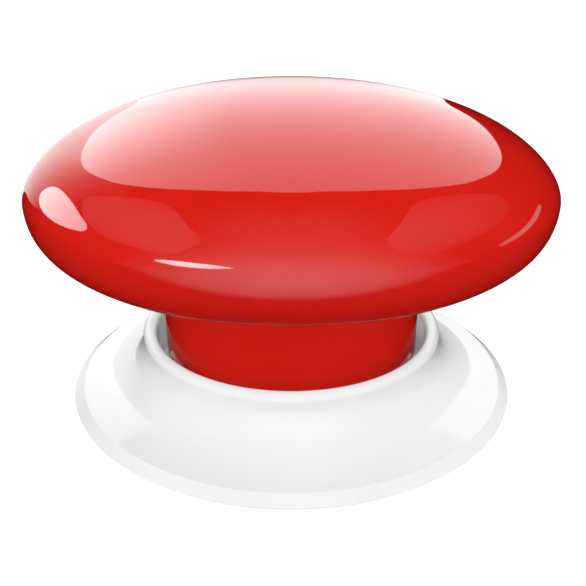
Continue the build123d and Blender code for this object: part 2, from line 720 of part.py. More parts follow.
def buffer_capacitor():
    """Electrolytic can on a square foot, rolled in near the bottom."""
    foot = block(buffer_size, buffer_size, board_top, board_top + BUFFER_FOOT)
    low = board_top + BUFFER_FOOT
    waist = low + BUFFER_GROOVE_HEIGHT
    top = board_top + BUFFER_HEIGHT
    can = turned_outline(at(0, low), at(BUFFER_RADIUS, low), at(BUFFER_RADIUS, waist - BUFFER_GROOVE),
                         at(BUFFER_RADIUS - BUFFER_GROOVE, waist),
                         at(BUFFER_RADIUS, waist + BUFFER_GROOVE),
                         at(BUFFER_RADIUS, top - BUFFER_EDGE), at(BUFFER_RADIUS - BUFFER_EDGE, top),
                         at(0, top))
    return foot + can


def buzzer():
    """Round sounder with a sound hole."""
    top = board_top + BUZZER_HEIGHT
    case = turned_outline(at(0, board_top), at(BUZZER_RADIUS, board_top),
                          at(BUZZER_RADIUS, top - BUZZER_EDGE), at(BUZZER_RADIUS - BUZZER_EDGE, top),
                          at(0, top))
    return case - disc(BUZZER_HOLE, top - BUZZER_HOLE_DEPTH, top + OVERRUN)


def chips(angles, height, radius):
    """Row of chip parts on the board, each in line with the axis and centred on a radius."""
    chip = block(CHIP_LENGTH, CHIP_WIDTH, board_top, board_top + height)
    return [place(chip, radius, angle) for angle in angles]


def antenna():
    """Wire along the edge of the board, past the capacitor, on one bent leg beside the radio."""
    radius = board_radius - ANTENNA_EDGE
    height = board_top + ANTENNA_LIFT
    wire = Plane.XZ * Pos(radius, height) * Circle(ANTENNA_WIRE)
    arc = turn(revolve(wire, Axis.Z, ANTENNA_SPAN_ANGLE), -ANTENNA_SPAN_ANGLE)
    leg = Pos(radius, 0, 0) * disc(ANTENNA_WIRE, board_top, height)
    bend = Pos(radius, 0, height) * Sphere(ANTENNA_WIRE)
    return turn(arc + leg + bend, ANTENNA_START_ANGLE)


os.makedirs("parts", exist_ok=True)
save("foot_pad", foot_pad())
save("base_plate", base_plate())
save("base_shell", base_shell())
save("lock_carrier", lock_carrier())
save("wave_spring", wave_spring())
save("dome_cover", dome_cover())
save("neck_shell", neck_shell())
save("battery_cell", battery_cell())
save("battery_holder", battery_holder())
save("positive_contact", positive_contact())
save("negative_contact", negative_contact())
save("main_board", main_board())
save("board_screws", *thirds(board_screw(), LEG_ANGLE))
save("switch_housings", *thirds(Pos(switch_circle, 0, 0) * switch_housing(), SWITCH_ANGLE))
save("switch_covers", *thirds(Pos(switch_circle, 0, 0) * switch_cover(), SWITCH_ANGLE))
save("switch_plungers", *thirds(Pos(switch_circle, 0, 0) * switch_plunger(), SWITCH_ANGLE))
save("radio_module", beside_hole(radio_module(), MODULE_RADIAL, MODULE_ANGLE))
save("radio_chip", beside_hole(radio_chip(), MODULE_RADIAL, MODULE_ANGLE))
save("radio_shield", beside_hole(radio_shield(), MODULE_RADIAL, MODULE_ANGLE))
save("microcontroller", beside_hole(microcontroller(), controller_length, CONTROLLER_ANGLE))
save("crystal", beside_hole(crystal(), CRYSTAL_WIDTH, CRYSTAL_ANGLE))
save("buffer_capacitor", beside_hole(buffer_capacitor(), buffer_size, BUFFER_ANGLE))
save("buzzer", beside_hole(buzzer(), BUZZER_RADIUS + BUZZER_RADIUS, BUZZER_ANGLE))
save("chip_capacitors", *chips(CAPACITOR_ANGLES, CAPACITOR_HEIGHT, capacitor_circle))
save("chip_resistors", *chips(RESISTOR_ANGLES, RESISTOR_HEIGHT, resistor_circle))
save("antenna", antenna())
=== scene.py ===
"""Looks of a wireless push button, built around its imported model. Metres, +Z up."""
import json
from math import cos, hypot, radians, sin, tan, tau

import bmesh
import bpy
from mathutils import Matrix, Vector

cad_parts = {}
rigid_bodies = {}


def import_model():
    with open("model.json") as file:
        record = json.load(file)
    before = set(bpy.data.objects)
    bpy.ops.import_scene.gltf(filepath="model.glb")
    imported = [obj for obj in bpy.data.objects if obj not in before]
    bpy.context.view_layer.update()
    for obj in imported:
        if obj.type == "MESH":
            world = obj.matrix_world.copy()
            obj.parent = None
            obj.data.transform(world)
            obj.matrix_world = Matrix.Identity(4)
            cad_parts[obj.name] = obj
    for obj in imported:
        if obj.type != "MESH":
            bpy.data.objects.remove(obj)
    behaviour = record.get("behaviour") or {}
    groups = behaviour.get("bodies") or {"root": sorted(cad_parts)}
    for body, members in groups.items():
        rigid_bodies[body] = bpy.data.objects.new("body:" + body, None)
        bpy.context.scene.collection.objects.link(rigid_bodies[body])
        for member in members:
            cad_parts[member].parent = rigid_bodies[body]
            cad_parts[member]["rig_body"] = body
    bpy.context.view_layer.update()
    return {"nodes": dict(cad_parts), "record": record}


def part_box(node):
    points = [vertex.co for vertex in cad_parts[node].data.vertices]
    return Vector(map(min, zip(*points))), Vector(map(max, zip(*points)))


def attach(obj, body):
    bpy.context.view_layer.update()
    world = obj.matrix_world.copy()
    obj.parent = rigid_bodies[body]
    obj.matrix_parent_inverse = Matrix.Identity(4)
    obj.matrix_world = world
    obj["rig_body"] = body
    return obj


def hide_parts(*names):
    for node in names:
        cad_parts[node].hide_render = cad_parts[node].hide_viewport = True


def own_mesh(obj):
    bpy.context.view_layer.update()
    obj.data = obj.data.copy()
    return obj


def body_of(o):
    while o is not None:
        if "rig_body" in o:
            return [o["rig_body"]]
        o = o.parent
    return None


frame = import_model()
nodes = frame["nodes"]

MM = 0.001

# Sizes read from the frame
dome_low, dome_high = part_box("dome_cover")
base_low, base_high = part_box("base_shell")
neck_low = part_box("neck_shell")[0]
plate_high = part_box("base_plate")[1]

DOME_RADIUS = dome_high.x
CROWN_TOP = dome_high.z
SEAM = dome_low.z
BASE_RADIUS = base_high.x
BASE_BOTTOM = base_low.z
LIP_TOP = base_high.z
STEM_LOW = neck_low.z
PLATE_TOP = plate_high.z

# Sizes that the frame's boxes don't give
CROWN_RISE = 9.7 * MM
UNDER_DROP = 6.8 * MM
COVER_WALL = 1.6 * MM
STEM_RADIUS = 14.15 * MM
STEM_WALL = 1.5 * MM
NECK_FILLET = 1.0 * MM
STEM_EDGE = 0.25 * MM
THROAT_RADIUS = 15.2 * MM
LIP_RADIUS = 0.75 * MM
BEVEL_WIDTH = 1.1 * MM
BEVEL_HEIGHT = 0.85 * MM
RIM_EDGE = 0.15 * MM
SKIRT_TOE_RISE = 0.25 * MM
PLATE_RADIUS = 20.5 * MM

# Angles of the inner details about the axis, in degrees
FULL_TURN = 360
THIRD = FULL_TURN / 3
LEG_ANGLE = 90
TWIST_RANGE = 30
LEDGE_SPAN = 28
STOP_SPAN = 3
LUG_SPAN = 26
LUG_PLAY = 0.5

# Inner details, as in the CAD nodes that the skins take the place of
WALL_BITE = 0.25 * MM
DETAIL_EDGE = 0.06 * MM
LEDGE_INNER = 14.5 * MM
LEDGE_LOW = 3.1 * MM
LEDGE_TOP = 4.1 * MM
GUIDE_DEPTH = 0.85 * MM
GUIDE_WIDTH = 1.2 * MM
GUIDE_HEIGHT = 4.8 * MM
GUIDE_GAP = 0.15 * MM
GUIDE_INSET = 0.4 * MM
LEG_WIDTH = 3.0 * MM
CATCH_LIFT = 1.3 * MM
CATCH_THICKNESS = 1.0 * MM
BOSS_CIRCLE = 18.8 * MM
BOSS_RADIUS = 2.2 * MM
BOSS_SIDES = 12
TONGUE_GAP = 0.15 * MM
TONGUE_INSET = 0.5 * MM
TONGUE_WALL = 0.9 * MM
TONGUE_DEPTH = 1.8 * MM
TONGUE_HEIGHT = 1.2 * MM
SPRING_EDGE = 0.3 * MM
SPRING_THICKNESS = 0.3 * MM
SPRING_WAVE_COUNT = 4
WIRE_EDGE = 0.05 * MM

# Lens and skirt outlines: how far each curve runs straight on before it bends
CROWN_RIM_SHARE = 0.277
CROWN_TOP_SHARE = 0.756
UNDER_RIM_SHARE = 0.6
UNDER_FLAT_SHARE = 0.885
SKIRT_DROP_SHARE = 0.56
SKIRT_REACH_SHARE = 0.66

rim_height = CROWN_TOP - CROWN_RISE
underside = rim_height - UNDER_DROP

# Fineness of the meshes, and the angle over which an edge shades sharp
AROUND = 288
CURVE_STEPS = 48
ARC_STEPS = 12
LIP_STEPS = 20
SAME_POINT = 0.002 * MM
SHARP_ANGLE = 32

# Levels of the even light and of the floor's glow, and how far the cards and the drape stand off
AMBIENT = 0.42
FLOOR_LIFT = 0.72
NEAR_DISTANCE = 0.5
CARD_DISTANCE = 0.6
WINDOW_DISTANCE = 2.0
DRAPE_DISTANCE = 2.5


def bezier(a, b, c, d, steps=CURVE_STEPS):
    """Points (radius, height) along a cubic curve."""
    points = []
    for i in range(steps + 1):
        t = i / steps
        s = 1 - t
        weights = (s * s * s, 3 * s * s * t, 3 * s * t * t, t * t * t)
        points.append(tuple(sum(w * p[k] for w, p in zip(weights, (a, b, c, d))) for k in (0, 1)))
    return points


def arc(centre, radius, start, end, steps=ARC_STEPS):
    """Points along an arc from one angle to another, in degrees."""
    angles = [radians(start + (end - start) * i / steps) for i in range(steps + 1)]
    return [(centre[0] + radius * cos(a), centre[1] + radius * sin(a)) for a in angles]


def crown_curve(radius, rise):
    """From the widest circle up to the axis."""
    top = rim_height + rise
    return bezier((radius, rim_height), (radius, rim_height + CROWN_RIM_SHARE * rise),
                  (CROWN_TOP_SHARE * radius, top), (0, top))


def belly_curve(radius, drop, flat):
    """From the flat underside up to the widest circle."""
    low = rim_height - drop
    return bezier((flat, low), (UNDER_FLAT_SHARE * radius, low),
                  (radius, rim_height - UNDER_RIM_SHARE * drop), (radius, rim_height))


def cut_at(points, height, keep_above):
    """The stretch of a rising outline above or below a height, with a point on the cut."""
    kept = [p for p in points if (p[1] > height) == keep_above]
    for a, b in zip(points, points[1:]):
        if (a[1] - height) * (b[1] - height) <= 0 and a[1] != b[1]:
            share = (height - a[1]) / (b[1] - a[1])
            on_cut = (a[0] + share * (b[0] - a[0]), height)
            return [on_cut] + kept if keep_above else kept + [on_cut]
    return kept


def tidy(points):
    """The outline without points that repeat."""
    kept = [points[0]]
    for p in points[1:]:
        if max(abs(p[0] - kept[-1][0]), abs(p[1] - kept[-1][1])) > SAME_POINT:
            kept.append(p)
    if max(abs(kept[0][0] - kept[-1][0]), abs(kept[0][1] - kept[-1][1])) < SAME_POINT:
        kept.pop()
    return kept


def mesh_object(name, verts, faces):
    """Object of a new mesh, in the scene."""
    mesh = bpy.data.meshes.new(name)
    mesh.from_pydata(verts, [], faces)
    obj = bpy.data.objects.new(name, mesh)
    bpy.context.scene.collection.objects.link(obj)
    return obj


def turned(name, outline):
    """Mesh object of a closed outline turned about the Z axis; points on the axis become one vertex."""
    outline = tidy(outline)
    verts = []
    rows = []
    for r, z in outline:
        if r < SAME_POINT / 2:
            rows.append([len(verts)] * AROUND)
            verts.append((0, 0, z))
        else:
            rows.append([len(verts) + k for k in range(AROUND)])
            verts += [(r * cos(tau * k / AROUND), r * sin(tau * k / AROUND), z) for k in range(AROUND)]
    faces = []
    for low, high in zip(rows, rows[1:] + rows[:1]):
        for k in range(AROUND):
            n = (k + 1) % AROUND
            corners = [low[k], low[n], high[n], high[k]]
            face = [v for j, v in enumerate(corners) if v not in corners[:j]]
            if len(face) > 2:
                faces.append(face)
    obj = mesh_object(name, verts, faces)
    obj.data.validate()
    face_outwards(obj)
    smooth(obj)
    return obj


def face_outwards(obj):
    """Turns the faces of a closed mesh outwards."""
    work = bmesh.new()
    work.from_mesh(obj.data)
    bmesh.ops.recalc_face_normals(work, faces=work.faces)
    work.to_mesh(obj.data)
    work.free()


def smooth(obj):
    """Smooth shading that keeps the sharper edges."""
    obj.data.polygons.foreach_set("use_smooth", [True] * len(obj.data.polygons))
    obj.data.set_sharp_from_angle(angle=radians(SHARP_ANGLE))
    obj.data.update()


def break_edges(obj, width):
    """Small rounding of the sharp edges."""
    edge = obj.modifiers.new("edges", "BEVEL")
    edge.width = width
    edge.segments = 2
    edge.limit_method = "ANGLE"
    smooth(obj)


# Materials

def new_material(name):
    """A new material, its node tree and its shader."""
    mat = bpy.data.materials.new(name)
    mat.use_nodes = True
    tree = mat.node_tree
    shader = tree.nodes["Principled BSDF"]
    return mat, tree, shader


def link(tree, a, b):
    """Links an output to an input."""
    tree.links.new(a, b)


def own_place(tree):
    """The object's own coordinates."""
    return tree.nodes.new("ShaderNodeTexCoord").outputs["Object"]


def noise(tree, scale, detail, rough=0.55):
    """Noise over the object's own coordinates."""
    node = tree.nodes.new("ShaderNodeTexNoise")
    node.inputs["Scale"].default_value = scale
    node.inputs["Detail"].default_value = detail
    node.inputs["Roughness"].default_value = rough
    link(tree, own_place(tree), node.inputs["Vector"])
    return node


def ramp(tree, value, stops):
    """Colour ramp over a value."""
    node = tree.nodes.new("ShaderNodeValToRGB")
    node.color_ramp.elements[0].position = stops[0][0]
    node.color_ramp.elements[0].color = stops[0][1]
    node.color_ramp.elements[1].position = stops[-1][0]
    node.color_ramp.elements[1].color = stops[-1][1]
    for position, colour in stops[1:-1]:
        node.color_ramp.elements.new(position).color = colour
    link(tree, value, node.inputs["Fac"])
    return node


def paint(tree, shader, value, stops):
    """Base colour from a ramp over a value."""
    colour = ramp(tree, value, stops)
    link(tree, colour.outputs["Color"], shader.inputs["Base Color"])


def spread(tree, value, low, high):
    """Value from 0..1 mapped to low..high."""
    node = tree.nodes.new("ShaderNodeMapRange")
    node.inputs["To Min"].default_value = low
    node.inputs["To Max"].default_value = high
    link(tree, value, node.inputs["Value"])
    return node.outputs["Result"]


def bump(tree, shader, height, distance):
    """Relief of a value, as deep as the distance."""
    node = tree.nodes.new("ShaderNodeBump")
    node.inputs["Strength"].default_value = 1.0
    node.inputs["Distance"].default_value = distance
    link(tree, height, node.inputs["Height"])
    link(tree, node.outputs["Normal"], shader.inputs["Normal"])


def gloss_plastic(name, dark, light, roughness, shine, tint=(1, 1, 1, 1)):
    """Glossy moulded plastic with a faint flow in its colour and a very fine orange peel."""
    mat, tree, shader = new_material(name)
    flow = noise(tree, scale=90, detail=2)
    paint(tree, shader, flow.outputs["Fac"], [(0.3, dark), (0.7, light)])
    wipe = noise(tree, scale=400, detail=4)
    link(tree, spread(tree, wipe.outputs["Fac"], roughness * 0.6, roughness * 1.4),
         shader.inputs["Roughness"])
    peel = noise(tree, scale=700, detail=2)
    bump(tree, shader, peel.outputs["Fac"], 0.4e-6)
    shader.inputs["IOR"].default_value = 1.5
    shader.inputs["Specular IOR Level"].default_value = shine
    shader.inputs["Specular Tint"].default_value = tint
    return mat


def moulded(name, dark, light, roughness, grain, depth, clear=0.0):
    """Matt or satin moulded plastic with the fine grain of its mould; clear is how far light enters."""
    mat, tree, shader = new_material(name)
    flow = noise(tree, scale=160, detail=3)
    paint(tree, shader, flow.outputs["Fac"], [(0.3, dark), (0.7, light)])
    rub = noise(tree, scale=900, detail=3)
    link(tree, spread(tree, rub.outputs["Fac"], roughness - 0.08, roughness + 0.08),
         shader.inputs["Roughness"])
    texture = noise(tree, scale=grain, detail=2, rough=0.7)
    bump(tree, shader, texture.outputs["Fac"], depth)
    shader.inputs["Subsurface Weight"].default_value = clear
    shader.inputs["Subsurface Scale"].default_value = 0.5 * MM
    return mat


def sheet_metal(name, dark, light, roughness, stretch):
    """Rolled or plated metal with the fine lines of its rolling along one direction."""
    mat, tree, shader = new_material(name)
    squeeze = tree.nodes.new("ShaderNodeMapping")
    squeeze.inputs["Scale"].default_value = stretch
    lines = tree.nodes.new("ShaderNodeTexNoise")
    lines.inputs["Scale"].default_value = 1500
    lines.inputs["Detail"].default_value = 4
    link(tree, own_place(tree), squeeze.inputs["Vector"])
    link(tree, squeeze.outputs["Vector"], lines.inputs["Vector"])
    paint(tree, shader, lines.outputs["Fac"], [(0.25, dark), (0.75, light)])
    link(tree, spread(tree, lines.outputs["Fac"], roughness - 0.1, roughness + 0.1),
         shader.inputs["Roughness"])
    bump(tree, shader, lines.outputs["Fac"], 2e-6)
    shader.inputs["Metallic"].default_value = 1
    return mat


def foam():
    """Closed-cell foam with small round pores."""
    mat, tree, shader = new_material("foam")
    cells = tree.nodes.new("ShaderNodeTexVoronoi")
    cells.inputs["Scale"].default_value = 4000
    link(tree, own_place(tree), cells.inputs["Vector"])
    paint(tree, shader, cells.outputs["Distance"],
          [(0.1, (0.012, 0.012, 0.013, 1)), (0.5, (0.03, 0.03, 0.032, 1))])
    shader.inputs["Roughness"].default_value = 0.92
    bump(tree, shader, cells.outputs["Distance"], 0.03 * MM)
    return mat


def solder_mask():
    """Green mask over glass laminate, with the weave faintly showing and copper fields under it."""
    mat, tree, shader = new_material("board")
    fields = noise(tree, scale=350, detail=0)
    paint(tree, shader, fields.outputs["Fac"],
          [(0.48, (0.004, 0.045, 0.02, 1)), (0.52, (0.008, 0.075, 0.03, 1))])
    weave = tree.nodes.new("ShaderNodeTexBrick")
    weave.inputs["Scale"].default_value = 1200
    link(tree, own_place(tree), weave.inputs["Vector"])
    bump(tree, shader, weave.outputs["Fac"], 3e-6)
    shader.inputs["Roughness"].default_value = 0.32
    return mat


def cell_jacket():
    """Shrunk jacket of the cell: pale sleeve between bare metal ends."""
    mat, tree, shader = new_material("cell_jacket")
    low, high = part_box("battery_cell")
    split = tree.nodes.new("ShaderNodeSeparateXYZ")
    link(tree, own_place(tree), split.inputs["Vector"])
    along = tree.nodes.new("ShaderNodeMapRange")
    along.inputs["From Min"].default_value = low.z
    along.inputs["From Max"].default_value = high.z
    link(tree, split.outputs["Z"], along.inputs["Value"])
    sleeve_start = 0.03
    sleeve_end = 0.9
    blend = 0.005

    def sleeve_between(ends, middle):
        """Stops along the cell, with one colour at its bare ends and another on its sleeve."""
        return [(0, ends), (sleeve_start, ends), (sleeve_start + blend, middle),
                (sleeve_end, middle), (sleeve_end + blend, ends), (1, ends)]

    steel = (0.55, 0.55, 0.54, 1)
    sleeve = (0.42, 0.5, 0.43, 1)
    paint(tree, shader, along.outputs["Result"], sleeve_between(steel, sleeve))
    bare = ramp(tree, along.outputs["Result"], sleeve_between(grey(1), grey(0)))
    link(tree, bare.outputs["Color"], shader.inputs["Metallic"])
    creases = noise(tree, scale=600, detail=3)
    link(tree, spread(tree, creases.outputs["Fac"], 0.22, 0.4), shader.inputs["Roughness"])
    bump(tree, shader, creases.outputs["Fac"], 8e-6)
    return mat


def grey(value, tint=1.0):
    """Grey colour; a tint under 1 makes it warmer, over 1 cooler."""
    return (value, value, value * tint, 1)


red_gloss = gloss_plastic("red_gloss", (0.67, 0.0132, 0.0075, 1), (0.7, 0.015, 0.0093, 1),
                          roughness=0.03, shine=0.5, tint=(0.6, 1, 1, 1))
white_gloss = gloss_plastic("white_gloss", grey(0.87), grey(0.89), roughness=0.08, shine=0.3)

finishes = {
    "red_gloss": red_gloss,
    "white_gloss": white_gloss,
    "white_matte": moulded("white_matte", grey(0.68), grey(0.72), 0.55, 2500, 6e-6),
    "foam": foam(),
    "natural_plastic": moulded("natural_plastic", grey(0.62, 0.9), grey(0.68, 0.92), 0.4, 1800, 4e-6,
                               clear=0.25),
    "spring_steel": sheet_metal("spring_steel", grey(0.3, 1.05), grey(0.45, 1.05), 0.3, (1, 1, 8)),
    "black_plastic": moulded("black_plastic", grey(0.006), grey(0.011), 0.5, 2200, 6e-6),
    "cell_jacket": cell_jacket(),
    "nickel": sheet_metal("nickel", (0.48, 0.46, 0.42, 1), (0.6, 0.58, 0.54, 1), 0.28, (1, 6, 1)),
    "board": solder_mask(),
    "chip_black": moulded("chip_black", grey(0.008), grey(0.014), 0.6, 3500, 5e-6),
    "can_aluminium": sheet_metal("can_aluminium", grey(0.58), grey(0.7), 0.25, (1, 1, 10)),
    "ceramic": moulded("ceramic", (0.2, 0.12, 0.06, 1), (0.28, 0.18, 0.1, 1), 0.45, 3000, 4e-6),
    "antenna_wire": sheet_metal("antenna_wire", (0.5, 0.36, 0.2, 1), (0.62, 0.48, 0.28, 1), 0.25,
                                (1, 1, 6)),
    "plunger_grey": moulded("plunger_grey", grey(0.06), grey(0.09), 0.42, 2000, 3e-6),
}


def dress_cad_nodes():
    """Every CAD node takes the finish of its material slot."""
    for part in frame["record"]["subparts"]:
        mesh = nodes[part["node"]].data
        mesh.materials.clear()
        mesh.materials.append(finishes[part["material_slot"]])
        mesh.polygons.foreach_set("material_index", [0] * len(mesh.polygons))


# Cap, stem and base

def cap_crown():
    """Glossy crown and rim, down to the seam."""
    outer = cut_at(belly_curve(DOME_RADIUS, UNDER_DROP, STEM_RADIUS + NECK_FILLET), SEAM, True)
    outer += crown_curve(DOME_RADIUS, CROWN_RISE)
    inner = cut_at(belly_curve(DOME_RADIUS - COVER_WALL, UNDER_DROP - COVER_WALL,
                               STEM_RADIUS - STEM_WALL), SEAM, True)
    inner += crown_curve(DOME_RADIUS - COVER_WALL, CROWN_RISE - COVER_WALL)
    obj = turned("cap_crown", outer + inner[::-1])
    obj.data.materials.append(red_gloss)
    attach(obj, "cap")
    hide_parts("dome_cover")


def cap_neck():
    """Underside of the cap and the stem."""
    outer = cut_at(belly_curve(DOME_RADIUS, UNDER_DROP, STEM_RADIUS + NECK_FILLET), SEAM, False)
    inner = cut_at(belly_curve(DOME_RADIUS - COVER_WALL, UNDER_DROP - COVER_WALL,
                               STEM_RADIUS - STEM_WALL), SEAM, False)
    fillet = arc((STEM_RADIUS + NECK_FILLET, underside - NECK_FILLET), NECK_FILLET, 180, 90)
    foot = arc((STEM_RADIUS - STEM_EDGE, STEM_LOW + STEM_EDGE), STEM_EDGE, 270, 360)
    stem = [(STEM_RADIUS - STEM_WALL, STEM_LOW)] + foot
    obj = turned("cap_neck", inner[::-1] + stem + fillet + outer)
    obj.data.materials.append(red_gloss)
    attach(obj, "cap")
    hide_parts("neck_shell")


def base_flare():
    """Flared base with its rounded collar and bevelled rim."""
    lip_height = LIP_TOP - LIP_RADIUS
    shoulder = THROAT_RADIUS + 2 * LIP_RADIUS
    toe = BASE_RADIUS - BEVEL_WIDTH
    toe_height = BASE_BOTTOM + RIM_EDGE + BEVEL_HEIGHT
    drop = SKIRT_DROP_SHARE * (lip_height - toe_height)
    reach = SKIRT_REACH_SHARE * (toe - shoulder)
    lip = arc((THROAT_RADIUS + LIP_RADIUS, lip_height), LIP_RADIUS, 180, 0, LIP_STEPS)
    skirt = bezier((shoulder, lip_height), (shoulder, lip_height - drop),
                   (toe - reach, toe_height + SKIRT_TOE_RISE), (toe, toe_height))
    rim = [(BASE_RADIUS, BASE_BOTTOM + RIM_EDGE), (BASE_RADIUS - RIM_EDGE, BASE_BOTTOM),
           (PLATE_RADIUS, BASE_BOTTOM), (PLATE_RADIUS, PLATE_TOP), (THROAT_RADIUS, PLATE_TOP)]
    obj = turned("base_flare", lip + skirt + rim)
    obj.visible_glossy = False
    obj.data.materials.append(white_gloss)
    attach(obj, "base")
    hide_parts("base_shell")


def prism(outline, low, high):
    """Corners and faces of an upright prism; high is a height, or a function of x and y."""
    count = len(outline)
    verts = [(x, y, low) for x, y in outline]
    verts += [(x, y, high(x, y) if callable(high) else high) for x, y in outline]
    ring = range(count)
    faces = [tuple(reversed(ring)), tuple(range(count, 2 * count))]
    faces += [(k, (k + 1) % count, count + (k + 1) % count, count + k) for k in ring]
    return verts, faces


def around(points, angle):
    """Plan points turned about the axis, in degrees."""
    a = radians(angle)
    return [(x * cos(a) - y * sin(a), x * sin(a) + y * cos(a)) for x, y in points]


def rim_piece(outer, inner, span):
    """Plan outline of a piece of a ring, centred on +X."""
    return arc((0, 0), outer, -span / 2, span / 2) + arc((0, 0), inner, span / 2, -span / 2)


def bar(near, far, width, offset=0.0):
    """Plan outline of a bar along +X."""
    low = offset - width / 2
    high = offset + width / 2
    return [(near, low), (far, low), (far, high), (near, high)]


def at_thirds(name, blocks, body, slot):
    """One mesh of prisms, each three times around the axis; the slot names its finish."""
    verts = []
    faces = []
    for step in range(3):
        for outline, low, high in blocks:
            more_verts, more_faces = prism(around(outline, LEG_ANGLE + THIRD * step), low, high)
            faces += [tuple(v + len(verts) for v in face) for face in more_faces]
            verts += more_verts
    obj = mesh_object(name, verts, faces)
    face_outwards(obj)
    break_edges(obj, DETAIL_EDGE)
    obj.data.materials.append(finishes[slot])
    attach(obj, body)


def bayonet():
    """Ledges and stops in the throat of the base."""
    ledge = rim_piece(THROAT_RADIUS + WALL_BITE, LEDGE_INNER, LEDGE_SPAN)
    stop = rim_piece(THROAT_RADIUS + WALL_BITE, LEDGE_INNER, STOP_SPAN)
    off = LUG_SPAN / 2 + LUG_PLAY + STOP_SPAN / 2
    blocks = [(ledge, LEDGE_LOW, LEDGE_TOP),
              (around(stop, -off), PLATE_TOP, LEDGE_TOP),
              (around(stop, TWIST_RANGE + off), PLATE_TOP, LEDGE_TOP)]
    at_thirds("bayonet_ledges", blocks, "base", "white_gloss")


def snap_seats():
    """Guides and catches in the stem for the snap legs."""
    inner = STEM_RADIUS - STEM_WALL
    guide_inner = inner - GUIDE_DEPTH
    offset = LEG_WIDTH / 2 + GUIDE_GAP + GUIDE_WIDTH / 2
    foot = STEM_LOW + GUIDE_INSET
    blocks = [(bar(guide_inner, inner + WALL_BITE, GUIDE_WIDTH, side * offset), foot, foot + GUIDE_HEIGHT)
              for side in (-1, 1)]
    catch = bar(guide_inner, inner + WALL_BITE, LEG_WIDTH + 2 * GUIDE_GAP)
    blocks.append((catch, STEM_LOW + CATCH_LIFT, STEM_LOW + CATCH_LIFT + CATCH_THICKNESS))
    at_thirds("snap_seats", blocks, "cap", "red_gloss")


def height_under_crown(radius):
    """Height of the inside of the crown at a radius."""
    points = crown_curve(DOME_RADIUS - COVER_WALL, CROWN_RISE - COVER_WALL)
    for a, b in zip(points, points[1:]):
        if b[0] <= radius <= a[0]:
            return a[1] + (b[1] - a[1]) * (a[0] - radius) / (a[0] - b[0])
    return points[0][1]


def screw_bosses():
    """Round bosses under the crown that the board is screwed to."""
    board_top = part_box("main_board")[1].z
    circle = arc((BOSS_CIRCLE, 0), BOSS_RADIUS, 0, FULL_TURN - FULL_TURN / BOSS_SIDES, BOSS_SIDES - 1)

    def top(x, y):
        return height_under_crown(hypot(x, y)) + WALL_BITE

    at_thirds("screw_bosses", [(circle, board_top, top)], "cap", "red_gloss")


def seam_tongue():
    """Ring inside the seam that the crown is snapped over."""
    outer = DOME_RADIUS - COVER_WALL - TONGUE_GAP - TONGUE_INSET
    inner = outer - TONGUE_WALL
    points = [(inner, SEAM - TONGUE_DEPTH), (outer, SEAM - TONGUE_DEPTH), (outer, SEAM + TONGUE_HEIGHT),
              (inner, SEAM + TONGUE_HEIGHT)]
    obj = turned("seam_tongue", points)
    obj.data.materials.append(red_gloss)
    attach(obj, "cap")


def wave_spring():
    """Ring of waved flat wire under the stem."""
    spring_low, spring_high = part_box("wave_spring")
    low = spring_low.z
    height = spring_high.z - low
    near = STEM_RADIUS - STEM_WALL + SPRING_EDGE
    far = STEM_RADIUS - SPRING_EDGE
    half = SPRING_THICKNESS / 2
    section = [(near, -half), (far, -half), (far, half), (near, half)]
    sides = len(section)
    verts = []
    faces = []
    for k in range(AROUND):
        angle = tau * k / AROUND
        middle = low + height / 2 + (height / 2 - half) * sin(SPRING_WAVE_COUNT * angle)
        verts += [(r * cos(angle), r * sin(angle), middle + z) for r, z in section]
        first = sides * k
        after = sides * ((k + 1) % AROUND)
        for a in range(sides):
            b = (a + 1) % sides
            faces.append((first + a, first + b, after + b, after + a))
    obj = mesh_object("waved_wire", verts, faces)
    face_outwards(obj)
    break_edges(obj, WIRE_EDGE)
    obj.data.materials.append(finishes["spring_steel"])
    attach(obj, "carrier")
    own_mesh(obj)
    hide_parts("wave_spring")


def let_light_past_cap():
    """The cap keeps off the lamps but not the even light, so the base stays white under it."""
    for obj in bpy.context.scene.objects:
        if obj.type == "MESH" and body_of(obj) == ["cap"]:
            obj.visible_diffuse = False


dress_cad_nodes()
cap_crown()
cap_neck()
base_flare()
bayonet()
snap_seats()
screw_bosses()
seam_tongue()
wave_spring()
let_light_past_cap()


# Floor, lights, camera

def floor():
    """Pale floor that holds the object's soft shadow and shows white to the camera."""
    half = 3.0
    corners = [(-half, -half, 0), (half, -half, 0), (half, half, 0), (-half, half, 0)]
    obj = mesh_object("floor", corners, [(0, 1, 2, 3)])
    mat, tree, shader = new_material("floor_white")
    shader.inputs["Base Color"].default_value = grey(0.6)
    shader.inputs["Roughness"].default_value = 0.9
    shader.inputs["Specular IOR Level"].default_value = 0.0
    shader.inputs["Emission Color"].default_value = (1, 1, 1, 1)
    path = tree.nodes.new("ShaderNodeLightPath")
    lift = tree.nodes.new("ShaderNodeMath")
    lift.operation = "MULTIPLY"
    lift.inputs[1].default_value = FLOOR_LIFT
    link(tree, path.outputs["Is Camera Ray"], lift.inputs[0])
    link(tree, lift.outputs[0], shader.inputs["Emission Strength"])
    obj.data.materials.append(mat)
    obj.visible_glossy = False


